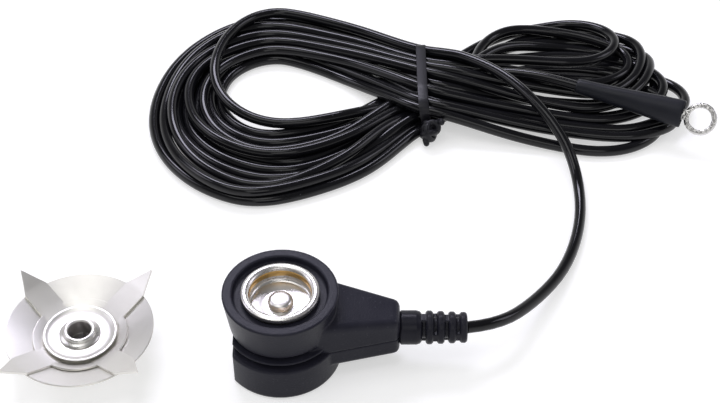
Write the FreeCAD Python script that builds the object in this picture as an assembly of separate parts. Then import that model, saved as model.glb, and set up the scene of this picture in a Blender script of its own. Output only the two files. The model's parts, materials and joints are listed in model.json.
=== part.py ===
import FreeCAD, Part
import math
import os
from FreeCAD import Vector

# Grounding cord kit, lying as it is stored: a moulded snap-socket connector, a hanked cord with a
# ring terminal, and a loose mat stud.  Millimetres, +Z up, floor at z = 0.
# The origin is on the floor, under the middle of the connector and the stud.

# ---- fits and walls
fit_gap = 0.05            # between pieces that slide or push together
seat_gap = 0.15           # around pieces dropped into the moulding
crossing_gap = 0.3        # between a cord and what it passes over
sheet = 0.45              # wall of the pressed nickel pieces

# ---- connector, measured from the drum's axis, cable towards +X
base_r = 10.1
base_h = 6.6              # also the plane where the two mouldings meet, and the cable's height
base_back = 0.1           # base disc stands this far behind the drum's axis
base_flat = 7.9           # from the base disc's centre to its flat
edge_round = 0.6
core_r = 7.2              # what is left of the drum inside the slot
slot_h = 2.25
flange_r = 9.35           # thin flange inside the slot, with the base's flat end
flange_t = 0.4
flange_gap = 1.0          # from the base up to the flange
drum_h = 6.75
drum_top_r = 9.65
drum_low_r = 8.7
recess_r = 7.95
recess_depth = 1.2
arm_end = 19.8
arm_root = 6.0            # where the arm's sides start, inside the drum
arm_root_w = 12.4
arm_end_w = 5.6
arm_low = 2.9
arm_root_top = 12.95
arm_end_top = 10.8
arm_round = 1.0

# ---- snap socket, for a 10 mm stud
socket_r = 5.2
socket_depth = 3.1
rim_r = 6.55
rim_h = 0.8
rim_proud = 0.1           # the rim stands this far above the drum's top
ring_wire = 0.3
ring_h = 0.8
ring_split = 1.2
ring_seat = 0.2           # width of the step that the ring rests on
dome_r = 2.1
dome_h = 1.2
rivet_r = 0.9
rivet_tail_r = 1.5
rivet_tail_h = 0.4
washer_r = 3.0
washer_t = 0.5
tab_w = 1.6

# ---- plug jack in the base's flat, for a 4 mm plug
jack_bore_r = 2.05
jack_r = 2.6
jack_len = 13.0
jack_floor = 1.0

# ---- resistor and its leads
resistor_r = 1.2
resistor_len = 6.0
resistor_start = 8.3
wire_r = 0.3
wire_bend = 0.9
riser_x = 6.9
ferrule_r = 1.0
ferrule_start = 15.1
ferrule_len = 2.4

# ---- cable and strain relief
cable_r = 1.05
core_wire_r = 0.5
anchor_r = 2.2
anchor_len = 1.7
neck_r = 2.9
neck_len = 3.7
relief_core_r = 1.75
rib_count = 4
rib_w = 1.25
rib_pitch = 1.9
rib_first_r = 2.85
rib_last_r = 2.6
bridge_w = 1.5

# ---- mat stud, lying on its snap
stud_spacing = 34.15      # from the stud's axis to the drum's axis
snap_r = 5.0
snap_neck_r = 4.6
snap_bead = 2.6
snap_h = 3.6
snap_round = 0.6
snap_flange_r = 6.0
disc_r = 12.5
disc_flat_r = 6.6
disc_rise = 2.4           # the dish rises this much from its flat to its rim
plate_r = 8.0
prong_w = 4.5
prong_taper = 0.9         # width left at the disc's rim
prong_reach = 16.2
prong_lift = 2.3
prong_count = 4
cup_r = 6.2
cup_rim_h = 0.85
eyelet_bore_r = 1.9
eyelet_step_r = 3.5
eyelet_roll = 0.85
eyelet_proud = 0.8
eyelet_foot_r = 3.1

# ---- hank of cord
lobe_h = 4.0
waist_h = 7.0
waist_x = (28.0, 40.0)
waist_y = (57.0, 77.0)
tie_x = 34.2
tie_w = 2.0
tie_t = 0.45
twist_r = 2.1
twist_len = 4.3
twist_z = 2.6

# Plan outlines of the two lobes and of the left one's opening.  Each is a ring of arcs, given as
# an end, a middle, the next end and so on.
left_outline = [
    (29, 78.5), (17, 88), (2, 91.5), (-15.4, 82), (-20.8, 62.5), (-16.4, 50),
    (-8.5, 41.1), (2.5, 35.6), (14.5, 38.6), (22.8, 45), (29, 56.5), (29.6, 66),
]
left_opening = [
    (-7, 70), (2, 77), (13, 73.2), (19.4, 70), (24.5, 65.8), (14.5, 61), (4, 58.8), (-4.8, 62.5),
]
right_outline = [
    (39, 77.5), (50.5, 86.8), (65, 89.3), (79.4, 81.5), (87.4, 65),
    (84, 56.4), (73, 50.6), (56, 50.9), (39, 57), (38.6, 67),
]

# ---- ring terminal for an M4 screw
sleeve_mouth = Vector(64.0, 63.6, 6.5)
sleeve_heading = -23.5    # degrees from +X
sleeve_roll = 45.0        # the flat end and the eye lean this much about the sleeve's own line
sleeve_len = 21.5
sleeve_wall = 0.5
sleeve_end_w = 5.6
sleeve_end_h = 3.4
eye_r = 3.2
eye_hole_r = 2.15
eye_t = 0.8
eye_drop = 0.9            # underside of the eye below the barrel's axis
eye_beyond = 3.45
barrel_len = 6.0
barrel_r = 1.1
barrel_in = 1.5           # barrel starts this far inside the sleeve's end
tongue_w = 2.1

# ---- places worked out from the sizes above
relief_end = arm_end + neck_len + rib_count * rib_pitch
drum_x = (stud_spacing + disc_r - relief_end) / 2
stud_x = drum_x - stud_spacing
axis_z = base_h
jack_z = base_h / 2
drum_z = base_h + slot_h
top_z = drum_z + drum_h
rim_z = top_z + rim_proud
cup_floor_z = rim_z - socket_depth
cup_wall_r = socket_r + ring_wire + fit_gap + sheet
washer_z = cup_floor_z - sheet - washer_t
post_top_z = washer_z - rivet_tail_h
lead_exit = Vector(drum_x + relief_end, 0, axis_z)
sleeve_dir = Vector(math.cos(math.radians(sleeve_heading)), math.sin(math.radians(sleeve_heading)), 0)

# Routes of the two free stretches of cord.  The lead leaves the strain relief, lies on the floor,
# then climbs over the hank and the tail into the hank's waist.
lead_route = [
    lead_exit,
    Vector(44.4, 1.2, 6.0),
    Vector(51.4, 8.9, 3.2),
    Vector(58.0, 18.7, 1.3),
    Vector(62.2, 30.2, 1.15),
    Vector(63.3, 41.4, 1.4),
    Vector(60.6, 50.4, 6.4),
    Vector(54.4, 60.2, 8.6),
    Vector(46.8, 69.0, 8.8),
    Vector(waist_x[1], 73.4, 5.9),
]
tail_route = [
    Vector(waist_x[1], 69.2, 5.6),
    Vector(48.0, 69.4, 5.5),
    sleeve_mouth - sleeve_dir * 8.4,
    sleeve_mouth,
]

UP = Vector(0, 0, 1)
ALONG = Vector(1, 0, 0)
ACROSS = Vector(0, 1, 0)


def cylinder(radius, length, at, axis=UP):
    return Part.makeCylinder(radius, length, at, axis)


def ring(outer, inner, length, at, axis=UP):
    return cylinder(outer, length, at, axis).cut(cylinder(inner, length, at, axis))


def block(x, y, z):
    """A box from its low and high limits along each axis."""
    return Part.makeBox(x[1] - x[0], y[1] - y[0], z[1] - z[0], Vector(x[0], y[0], z[0]))


def turned(outline, x=0.0):
    """A solid of revolution about the vertical line at x, from (radius, height) pairs."""
    points = [Vector(x + r, 0, z) for r, z in outline]
    face = Part.Face(Part.makePolygon(points + points[:1]))
    return face.revolve(Vector(x, 0, 0), UP, 360)


def lofted(sections):
    return Part.makeLoft([Part.makePolygon(s + s[:1]) for s in sections], True, True)


def arcs(points):
    """A closed wire of three-point arcs: end, middle, end, middle and so on."""
    edges = []
    for i in range(0, len(points), 2):
        start, middle, end = points[i], points[i + 1], points[(i + 2) % len(points)]
        edges.append(Part.Arc(Vector(*start, 0), Vector(*middle, 0), Vector(*end, 0)).toShape())
    return Part.Wire(edges)


def cord_path(route, label):
    """Straight runs joined by tangent arcs as large as the runs allow."""
    edges = []
    radii = []
    start = route[0]
    for before, corner, after in zip(route, route[1:], route[2:]):
        arriving = corner - before
        leaving = after - corner
        reach = 0.45 * min(arriving.Length, leaving.Length)
        turn = arriving.getAngle(leaving)
        radii.append(reach / math.tan(turn / 2))
        arriving.normalize()
        leaving.normalize()
        first = corner - arriving * reach
        last = corner + leaving * reach
        inward = leaving - arriving
        inward.normalize()
        centre_distance = math.hypot(radii[-1], reach)
        middle = corner + inward * (centre_distance - radii[-1])
        edges.append(Part.LineSegment(start, first).toShape())
        edges.append(Part.Arc(first, middle, last).toShape())
        start = last
    edges.append(Part.LineSegment(start, route[-1]).toShape())
    print(label, "bend radii", [round(r, 1) for r in radii])
    return Part.Wire(edges)


def cord_tube(route, label):
    path = cord_path(route, label)
    section = Part.Wire(Part.makeCircle(cable_r, route[0], route[1] - route[0]))
    tube = path.makePipeShell([section], True, False)
    expected = math.pi * cable_r ** 2 * path.Length
    print(label, "length", round(path.Length, 1), "volume ratio", round(tube.Volume / expected, 4))
    return tube


def arm_section(x, half, low, high):
    return [
        Vector(drum_x + x, -half, low),
        Vector(drum_x + x, half, low),
        Vector(drum_x + x, half, high),
        Vector(drum_x + x, -half, high),
    ]


def arm(low, root_top, end_top):
    """The tapered arm between two heights, square at its edges."""
    return lofted([
        arm_section(arm_root, arm_root_w / 2, low, root_top),
        arm_section(arm_end, arm_end_w / 2, low, end_top),
    ])


def round_long_edges(shape, radius, at_height, above):
    """Round the arm's two long edges on one side of a height."""
    picked = []
    for edge in shape.Edges:
        low, high = edge.BoundBox.ZMin, edge.BoundBox.ZMax
        long_edge = edge.BoundBox.XLength > (arm_end - arm_root) / 2
        beyond = low > at_height if above else high < at_height
        if long_edge and beyond:
            picked.append(edge)
    return shape.makeFillet(radius, picked)


def circles_above(shape, height):
    """The full circles of a turned shape that lie above a height."""
    return [e for e in shape.Edges if e.BoundBox.ZMin > height and e.isClosed()]


def inner_space():
    """Everything the two mouldings leave free for the pieces they hold."""
    x = drum_x
    resistor_end = resistor_start + resistor_len
    tube_r = resistor_r + seat_gap
    post = cylinder(rivet_r + seat_gap, post_top_z - jack_z, Vector(x, 0, jack_z))
    jack = cylinder(jack_r + fit_gap, jack_len, Vector(x - base_back - base_flat, 0, jack_z), ALONG)
    tail = cylinder(rivet_tail_r + seat_gap, rivet_tail_h, Vector(x, 0, post_top_z))
    washer = cylinder(washer_r + seat_gap, washer_t, Vector(x, 0, washer_z))
    cup = cylinder(cup_wall_r + fit_gap, rim_z - washer_z - washer_t, Vector(x, 0, washer_z + washer_t))
    recess = cylinder(recess_r, recess_depth, Vector(x, 0, top_z - recess_depth))
    half_tab = tab_w / 2 + seat_gap
    tab_end = riser_x + wire_r + 3 * seat_gap
    tab = block((x, x + tab_end), (-half_tab, half_tab), (washer_z, washer_z + washer_t + seat_gap))
    riser = block((x + riser_x - wire_r - seat_gap, x + resistor_start), (-half_tab / 2, half_tab / 2),
                  (axis_z - wire_r - seat_gap, washer_z))
    resistor = cylinder(tube_r, resistor_end - resistor_start + 2 * seat_gap,
                        Vector(x + resistor_start - seat_gap, 0, axis_z), ALONG)
    rear = cylinder(ferrule_r + seat_gap, arm_end - anchor_len - resistor_end,
                    Vector(x + resistor_end, 0, axis_z), ALONG)
    anchor = cylinder(anchor_r + fit_gap, anchor_len, Vector(x + arm_end - anchor_len, 0, axis_z), ALONG)
    return [post, jack, tail, washer, cup, recess, tab, riser, resistor, rear, anchor]


def housing_base():
    centre = drum_x - base_back
    disc = cylinder(base_r, base_h, Vector(centre, 0, 0))
    disc = disc.cut(block((centre - 2 * base_r, centre - base_flat), (-base_r, base_r), (0, base_h)))
    foot = [e for e in disc.Edges if e.BoundBox.ZMax < base_h / 2]
    disc = disc.makeFillet(edge_round, foot)
    lower_arm = round_long_edges(arm(arm_low, base_h, base_h), arm_round, base_h / 2 + arm_low / 2, False)
    shape = disc.fuse(lower_arm)
    for space in inner_space():
        shape = shape.cut(space)
    return shape.removeSplitter()


def housing_cap():
    middle_z = (base_h + arm_end_top) / 2
    upper_arm = round_long_edges(arm(base_h, arm_root_top, arm_end_top), arm_round, middle_z, True)
    drum = turned([
        (0, base_h),
        (core_r, base_h),
        (core_r, drum_z),
        (drum_low_r, drum_z),
        (drum_top_r, top_z),
        (0, top_z),
    ], drum_x)
    drum = drum.makeFillet(edge_round / 2, circles_above(drum, drum_z + drum_h / 2))
    flange = cylinder(flange_r, flange_t, Vector(drum_x, 0, base_h + flange_gap))
    flat_x = drum_x - base_back - base_flat
    flange = flange.cut(block((flat_x - flange_r, flat_x), (-flange_r, flange_r), (base_h, drum_z)))
    shape = drum.fuse([flange, upper_arm])
    for space in inner_space():
        shape = shape.cut(space)
    return shape


def socket_cup():
    groove_r = socket_r + ring_wire + fit_gap
    lip_z = rim_z - rim_h
    ring_z = lip_z - ring_h
    shape = turned([
        (0, cup_floor_z - sheet),
        (cup_wall_r, cup_floor_z - sheet),
        (cup_wall_r, lip_z),
        (rim_r, lip_z),
        (rim_r, rim_z),
        (socket_r, rim_z),
        (socket_r, lip_z + fit_gap),
        (groove_r, lip_z + fit_gap),
        (groove_r, ring_z - fit_gap),
        (socket_r + ring_seat, ring_z - fit_gap),
        (socket_r + ring_seat, cup_floor_z),
        (0, cup_floor_z),
    ], drum_x)
    shape = shape.makeFillet(rim_h / 2 - fit_gap, circles_above(shape, rim_z - fit_gap))
    return shape.cut(cylinder(rivet_r, 2 * socket_depth, Vector(drum_x, 0, washer_z)))


def spring_ring():
    at = Vector(drum_x, 0, rim_z - rim_h - ring_h)
    shape = ring(socket_r + ring_wire, socket_r, ring_h, at)
    half = ring_split / 2
    return shape.cut(block((drum_x - 2 * socket_r, drum_x), (-half, half), (at.z, at.z + ring_h)))


def centre_rivet():
    dome_radius = (dome_r ** 2 + dome_h ** 2) / (2 * dome_h)
    dome = Part.makeSphere(dome_radius, Vector(drum_x, 0, cup_floor_z + dome_h - dome_radius))
    below = block((drum_x - dome_radius, drum_x + dome_radius), (-dome_radius, dome_radius),
                  (cup_floor_z - 2 * dome_radius, cup_floor_z))
    shank = cylinder(rivet_r, cup_floor_z - washer_z + rivet_tail_h, Vector(drum_x, 0, post_top_z))
    tail = cylinder(rivet_tail_r, rivet_tail_h, Vector(drum_x, 0, post_top_z))
    return dome.cut(below).fuse(shank).fuse(tail)


def contact_washer():
    disc = cylinder(washer_r, washer_t, Vector(drum_x, 0, washer_z))
    tab_end = drum_x + riser_x + wire_r + 2 * seat_gap
    tab = block((drum_x, tab_end), (-tab_w / 2, tab_w / 2), (washer_z, washer_z + washer_t))
    shape = disc.fuse(tab).cut(cylinder(rivet_r, washer_t, Vector(drum_x, 0, washer_z)))
    return shape.removeSplitter()


def plug_jack():
    mouth = Vector(drum_x - base_back - base_flat, 0, jack_z)
    outside = cylinder(jack_r, jack_len, mouth, ALONG)
    return outside.cut(cylinder(jack_bore_r, jack_len - jack_floor, mouth, ALONG))


def contact_post():
    post = cylinder(rivet_r, post_top_z - jack_z, Vector(drum_x, 0, jack_z))
    mouth = Vector(drum_x - base_back - base_flat, 0, jack_z)
    return post.cut(cylinder(jack_r, jack_len, mouth, ALONG))


def resistor_body():
    start = Vector(drum_x + resistor_start, 0, axis_z)
    shape = cylinder(resistor_r, resistor_len, start, ALONG)
    return shape.makeFillet(resistor_r / 3, shape.Edges[0:1] + shape.Edges[2:3])


def front_lead():
    """From the resistor, up to the underside of the washer's tab."""
    x = drum_x + riser_x
    begin = Vector(drum_x + resistor_start, 0, axis_z)
    bend = [
        Vector(x + wire_bend, 0, axis_z),
        Vector(x + wire_bend * (1 - math.sqrt(0.5)), 0, axis_z + wire_bend * (1 - math.sqrt(0.5))),
        Vector(x, 0, axis_z + wire_bend),
    ]
    path = Part.Wire([
        Part.LineSegment(begin, bend[0]).toShape(),
        Part.Arc(*bend).toShape(),
        Part.LineSegment(bend[2], Vector(x, 0, washer_z)).toShape(),
    ])
    section = Part.Wire(Part.makeCircle(wire_r, begin, ALONG))
    return path.makePipeShell([section], True, False)


def rear_lead():
    start = resistor_start + resistor_len
    length = ferrule_start + ferrule_len / 2 - start
    return cylinder(wire_r, length, Vector(drum_x + start, 0, axis_z), ALONG)


def crimp_ferrule():
    half = ferrule_len / 2
    at = Vector(drum_x + ferrule_start, 0, axis_z)
    wire_side = ring(ferrule_r, wire_r, half, at, ALONG)
    cable_side = ring(ferrule_r, core_wire_r, half, at + ALONG * half, ALONG)
    return wire_side.fuse(cable_side)


def conductor_end():
    start = ferrule_start + ferrule_len / 2
    length = arm_end - anchor_len + seat_gap - start
    return cylinder(core_wire_r, length, Vector(drum_x + start, 0, axis_z), ALONG)


def cable_stub():
    start = arm_end - anchor_len + seat_gap
    return cylinder(cable_r, relief_end - start, Vector(drum_x + start, 0, axis_z), ALONG)


def strain_relief():
    anchor = cylinder(anchor_r, anchor_len, Vector(drum_x + arm_end - anchor_len, 0, axis_z), ALONG)
    neck = cylinder(neck_r, neck_len, Vector(drum_x + arm_end, 0, axis_z), ALONG)
    ribs_x = drum_x + arm_end + neck_len
    neck = neck.makeFillet(edge_round, [e for e in neck.Edges if e.BoundBox.XMin > ribs_x - fit_gap])
    gap = rib_pitch - rib_w
    core_len = rib_count * rib_pitch
    core = cylinder(relief_core_r, core_len, Vector(ribs_x, 0, axis_z), ALONG)
    shape = anchor.fuse([neck, core])
    for i in range(rib_count):
        rib_r = rib_first_r + (rib_last_r - rib_first_r) * i / (rib_count - 1)
        rib_x = ribs_x + gap + i * rib_pitch
        rib = cylinder(rib_r, rib_w, Vector(rib_x, 0, axis_z), ALONG)
        shape = shape.fuse(rib.makeFillet(rib_w / 4, rib.Edges[0:1] + rib.Edges[2:3]))
        # bridges join neighbouring ribs, above and below or at the two sides in turn
        reach = rib_r - rib_w / 4
        half = bridge_w / 2
        spans = [(-half, half), (-reach, reach)]
        y, z = spans if i % 2 else reversed(spans)
        bridge = block((rib_x - gap, rib_x + rib_w / 2), y, (axis_z + z[0], axis_z + z[1]))
        shape = shape.fuse(bridge)
    bore = cylinder(cable_r, 2 * relief_end, Vector(drum_x, 0, axis_z), ALONG)
    return shape.cut(bore).removeSplitter()


def male_stud():
    flange_low = snap_h - sheet
    return turned([
        (0, 0),
        (snap_r - snap_round, 0),
        (snap_r, snap_round),
        (snap_r, snap_bead),
        (snap_neck_r, flange_low),
        (snap_flange_r, flange_low),
        (snap_flange_r, snap_h),
        (snap_neck_r - sheet, snap_h),
        (snap_neck_r - sheet, flange_low),
        (snap_r - sheet, snap_bead),
        (snap_r - sheet, sheet),
        (0, sheet),
    ], stud_x)


def dish_z(radius):
    """Height of the dished disc's upper face at a distance from its axis."""
    bend_r = disc_flat_r - sheet
    return snap_h + sheet + disc_rise * max(0.0, radius - bend_r) / (disc_r - bend_r)


def backing_disc():
    hole = eyelet_bore_r + sheet + fit_gap
    low = snap_h
    return turned([
        (hole, low),
        (disc_flat_r, low),
        (disc_r, low + disc_rise),
        (disc_r, low + disc_rise + sheet),
        (disc_flat_r - sheet, low + sheet),
        (hole, low + sheet),
    ], stud_x)


def strip_section(x, half, low):
    return [
        Vector(x, -half, low),
        Vector(x, half, low),
        Vector(x, half, low + sheet),
        Vector(x, -half, low + sheet),
    ]


def prong(angle):
    """One pointed prong, lying along the dish and rising past its rim."""
    half = prong_w / 2
    root = cup_r + 2 * fit_gap
    root_low = dish_z(math.hypot(root, half)) + fit_gap
    rim_low = dish_z(math.hypot(disc_r, half * prong_taper)) + fit_gap
    tip_low = rim_low + prong_lift - sheet
    stations = [
        (root, root_low, half),
        (disc_r, rim_low, half * prong_taper),
        (prong_reach, tip_low, sheet / 3),
    ]
    pieces = []
    for (x0, z0, w0), (x1, z1, w1) in zip(stations, stations[1:]):
        pieces.append(lofted([strip_section(x0, w0, z0), strip_section(x1, w1, z1)]))
    shape = pieces[0].fuse(pieces[1:])
    shape.rotate(Vector(0, 0, 0), UP, angle)
    shape.translate(Vector(stud_x, 0, 0))
    return shape


def prong_plate():
    hole = eyelet_bore_r + sheet + fit_gap
    bend_r = disc_flat_r - sheet
    low = dish_z(0)
    edge_low = dish_z(plate_r) + fit_gap
    shape = turned([
        (hole, low),
        (bend_r, low),
        (plate_r, edge_low),
        (plate_r, edge_low + sheet),
        (bend_r, low + sheet),
        (hole, low + sheet),
    ], stud_x)
    for i in range(prong_count):
        shape = shape.fuse(prong((i + 0.5) * 360 / prong_count))
    return shape.removeSplitter()


def cup_washer():
    hole = eyelet_bore_r + sheet + fit_gap
    low = snap_h + 2 * sheet
    return turned([
        (hole, low),
        (cup_r - sheet, low),
        (cup_r, low + sheet),
        (cup_r, low + cup_rim_h),
        (cup_r - sheet, low + cup_rim_h),
        (cup_r - 2 * sheet, low + sheet),
        (hole, low + sheet),
    ], stud_x)


def eyelet():
    barrel_out = eyelet_bore_r + sheet
    step_z = snap_h + 3 * sheet
    top = snap_h + 2 * sheet + cup_rim_h + eyelet_proud
    foot_z = snap_h - sheet
    shape = turned([
        (eyelet_bore_r, foot_z),
        (eyelet_foot_r, foot_z),
        (eyelet_foot_r, snap_h),
        (barrel_out, snap_h),
        (barrel_out, step_z),
        (eyelet_step_r, step_z),
        (eyelet_step_r, step_z + sheet),
        (eyelet_bore_r + eyelet_roll, step_z + sheet),
        (eyelet_bore_r + eyelet_roll, top),
        (eyelet_bore_r, top),
    ], stud_x)
    return shape.makeFillet(eyelet_roll / 2 - fit_gap, circles_above(shape, top - fit_gap))


def cable_hank():
    """The wound cord as one solid: an open left lobe, a tied waist and a closed right lobe."""
    up = Vector(0, 0, lobe_h)
    left_lobe = Part.Face(arcs(left_outline)).extrude(up).cut(Part.Face(arcs(left_opening)).extrude(up))
    right_lobe = Part.Face(arcs(right_outline)).extrude(up)
    waist = block(waist_x, waist_y, (0, waist_h))
    shape = waist.fuse([left_lobe, right_lobe]).removeSplitter()
    band = hank_tie()
    return shape.cut(band)


def hank_tie():
    x = (tie_x - tie_w / 2, tie_x + tie_w / 2)
    outside = block(x, (waist_y[0] - tie_t, waist_y[1] + tie_t), (0, waist_h + tie_t))
    return outside.cut(block(x, waist_y, (tie_t, waist_h)))


def tie_twist():
    front = waist_y[0] - tie_t
    return cylinder(twist_r, twist_len, Vector(tie_x, front - twist_len, twist_z), ACROSS)


def along_sleeve(shape):
    """Move a shape built along +X from the origin to the sleeve's roll, heading and mouth."""
    shape.rotate(Vector(0, 0, 0), ALONG, sleeve_roll)
    shape.rotate(Vector(0, 0, 0), UP, sleeve_heading)
    shape.translate(sleeve_mouth)
    return shape


def oval(x, half_w, half_h):
    major, minor = max(half_w, half_h), min(half_w, half_h)
    edge = Part.Ellipse(Vector(0, 0, 0), major, minor).toShape()
    edge.rotate(Vector(0, 0, 0), UP, 90)
    edge.rotate(Vector(0, 0, 0), ACROSS, 90)
    edge.translate(Vector(x, 0, 0))
    return Part.Wire(edge)


def heat_shrink_sleeve():
    start_r = cable_r + sleeve_wall
    outside = Part.makeLoft([
        oval(0, start_r + fit_gap, start_r),
        oval(sleeve_len, sleeve_end_w / 2, sleeve_end_h / 2),
    ], True, True)
    inside = Part.makeLoft([
        oval(0, cable_r + fit_gap, cable_r),
        oval(sleeve_len, sleeve_end_w / 2 - sleeve_wall, sleeve_end_h / 2 - sleeve_wall),
    ], True, True)
    return along_sleeve(outside.cut(inside))


def ring_terminal():
    barrel_x = sleeve_len - barrel_in - barrel_len
    eye_x = sleeve_len + eye_beyond
    barrel = cylinder(barrel_r, barrel_len, Vector(barrel_x, 0, 0), ALONG)
    half = tongue_w / 2
    flat = (-eye_drop, eye_t - eye_drop)
    plate = block((sleeve_len - barrel_in - eye_t, eye_x), (-half, half), flat)
    plate = plate.fuse(cylinder(eye_r, eye_t, Vector(eye_x, 0, -eye_drop)))
    plate = plate.cut(cylinder(eye_hole_r, eye_t, Vector(eye_x, 0, -eye_drop)))
    bore = cylinder(core_wire_r + fit_gap, barrel_len, Vector(barrel_x, 0, 0), ALONG)
    return along_sleeve(barrel.fuse(plate).cut(bore))


def sleeved_cable():
    """The jacketed end of the cable inside the sleeve."""
    return along_sleeve(cylinder(cable_r, sleeve_len - barrel_in - barrel_len, Vector(0, 0, 0), ALONG))


def terminal_conductor():
    start = sleeve_len - barrel_in - barrel_len
    return along_sleeve(cylinder(core_wire_r, barrel_len, Vector(start, 0, 0), ALONG))


nodes = {
    "housing_base": housing_base,
    "housing_cap": housing_cap,
    "socket_cup": socket_cup,
    "spring_ring": spring_ring,
    "centre_rivet": centre_rivet,
    "contact_washer": contact_washer,
    "contact_post": contact_post,
    "plug_jack": plug_jack,
    "resistor_body": resistor_body,
    "front_lead": front_lead,
    "rear_lead": rear_lead,
    "crimp_ferrule": crimp_ferrule,
    "conductor_end": conductor_end,
    "cable_stub": cable_stub,
    "strain_relief": strain_relief,
    "male_stud": male_stud,
    "backing_disc": backing_disc,
    "prong_plate": prong_plate,
    "cup_washer": cup_washer,
    "eyelet": eyelet,
    "cable_hank": cable_hank,
    "hank_tie": hank_tie,
    "tie_twist": tie_twist,
    "heat_shrink_sleeve": heat_shrink_sleeve,
    "ring_terminal": ring_terminal,
    "sleeved_cable": sleeved_cable,
    "terminal_conductor": terminal_conductor,
}

os.makedirs("parts", exist_ok=True)
shapes = {name: make() for name, make in nodes.items()}
shapes["cable_lead"] = cord_tube(lead_route, "cable_lead")
shapes["cable_tail"] = cord_tube(tail_route, "cable_tail")
for name, shape in shapes.items():
    box = shape.BoundBox
    print(name, "solids", len(shape.Solids), "valid", shape.isValid(), "volume", round(shape.Volume, 2),
          "x", round(box.XMin, 2), round(box.XMax, 2), "y", round(box.YMin, 2), round(box.YMax, 2),
          "z", round(box.ZMin, 2), round(box.ZMax, 2))
    shape.exportStep("parts/" + name + ".step")
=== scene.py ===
import json
import math
import bpy
import numpy as np
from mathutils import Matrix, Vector


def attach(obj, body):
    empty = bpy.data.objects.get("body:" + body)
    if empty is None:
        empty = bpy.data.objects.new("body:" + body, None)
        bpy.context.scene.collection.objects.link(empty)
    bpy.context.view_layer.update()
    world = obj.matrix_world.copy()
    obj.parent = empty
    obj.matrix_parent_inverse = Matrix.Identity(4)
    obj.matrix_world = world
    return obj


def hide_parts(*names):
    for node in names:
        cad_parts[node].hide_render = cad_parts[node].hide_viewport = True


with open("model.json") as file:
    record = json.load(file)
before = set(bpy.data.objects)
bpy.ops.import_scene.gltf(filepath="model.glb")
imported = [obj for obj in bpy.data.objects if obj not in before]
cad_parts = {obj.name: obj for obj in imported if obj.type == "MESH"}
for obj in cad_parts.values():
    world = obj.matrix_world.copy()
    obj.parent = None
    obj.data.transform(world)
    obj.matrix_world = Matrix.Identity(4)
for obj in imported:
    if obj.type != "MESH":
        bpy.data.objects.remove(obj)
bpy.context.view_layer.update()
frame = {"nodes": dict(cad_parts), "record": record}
nodes = frame["nodes"]
mm = 0.001
print("frame loaded:", len(nodes), "nodes")

# what a user would change, in mm
cable = {
    "diameter": 2.1,
    "step": 1.6,           # between the points that settle
    "keepEvery": 3,        # of those, the ones that become the spline's points
    "settleSteps": 150,
    "quickSteps": 60,
    "sinkStep": 0.012,
    "neighbours": 3,       # points this near along the cord don't push each other
    "easing": 3,           # smoothing passes in each step
    "upperLegX": 18.0,     # where a left loop's two legs have a point of their own
    "lowerLegX": 28.0,
    "tailLead": 8.4,       # from the tail's last bend to the sleeve's mouth
    "within": (3.0, 7.0, 11.0),   # points of the cord inside the sleeve
    "rings": 5,            # steps between two of the spline's points
    "roundness": 5,
    "tieX": 34.2,
    "tieHalf": 1.8,
    "tieY": (57.0, 77.0),
    "tieTop": 7.0,
}
sleeve = {
    "mouth": (64.0, 63.6, 6.5),
    "heading": math.radians(-23.5),
    "roll": math.radians(45.0),   # the flat end and the eye lean this much
    "length": 21.5,
    "wall": 0.5,
    "clearR": (1.5, 2.2),         # what the cord's turns keep clear of, mouth and end
    "waves": (2.6, 0.16),         # length and height of the uneven surface
}


def rad(*degrees):
    return tuple(math.radians(d) for d in degrees)


# small helpers for modelling
def deselectAll():
    if bpy.context.object and bpy.context.object.mode != "OBJECT":
        bpy.ops.object.mode_set(mode="OBJECT")
    bpy.ops.object.select_all(action="DESELECT")


def selectOnly(piece):
    deselectAll()
    piece.select_set(True)
    bpy.context.view_layer.objects.active = piece


def applyPlace(piece):
    selectOnly(piece)
    bpy.ops.object.transform_apply(location=True, rotation=True, scale=True)


def editMode(piece):
    selectOnly(piece)
    bpy.ops.object.mode_set(mode="EDIT")


def selectWhere(piece, test):
    # In edit mode, select only the vertices that pass a test, given in millimetres.
    bpy.ops.mesh.select_mode(type="VERT")
    bpy.ops.mesh.select_all(action="DESELECT")
    bpy.ops.object.mode_set(mode="OBJECT")
    for v in piece.data.vertices:
        v.select = bool(test(piece.matrix_world @ v.co / mm))
    bpy.ops.object.mode_set(mode="EDIT")


def addModifier(piece, kind, **values):
    modifier = piece.modifiers.new(kind.title(), kind)
    for key, value in values.items():
        setattr(modifier, key, value)
    selectOnly(piece)
    bpy.ops.object.modifier_apply(modifier=modifier.name)


def settleMesh(piece, name, angle=35, doubles=0.002):
    # Apply the place, merge doubles, turn faces outwards and shade by angle.
    applyPlace(piece)
    bpy.ops.object.mode_set(mode="EDIT")
    bpy.ops.mesh.select_all(action="SELECT")
    bpy.ops.mesh.remove_doubles(threshold=doubles * mm)
    bpy.ops.mesh.normals_make_consistent(inside=False)
    bpy.ops.object.mode_set(mode="OBJECT")
    bpy.ops.object.shade_smooth_by_angle(angle=math.radians(angle))
    piece.name = name
    piece.data.name = name
    return piece


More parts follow.
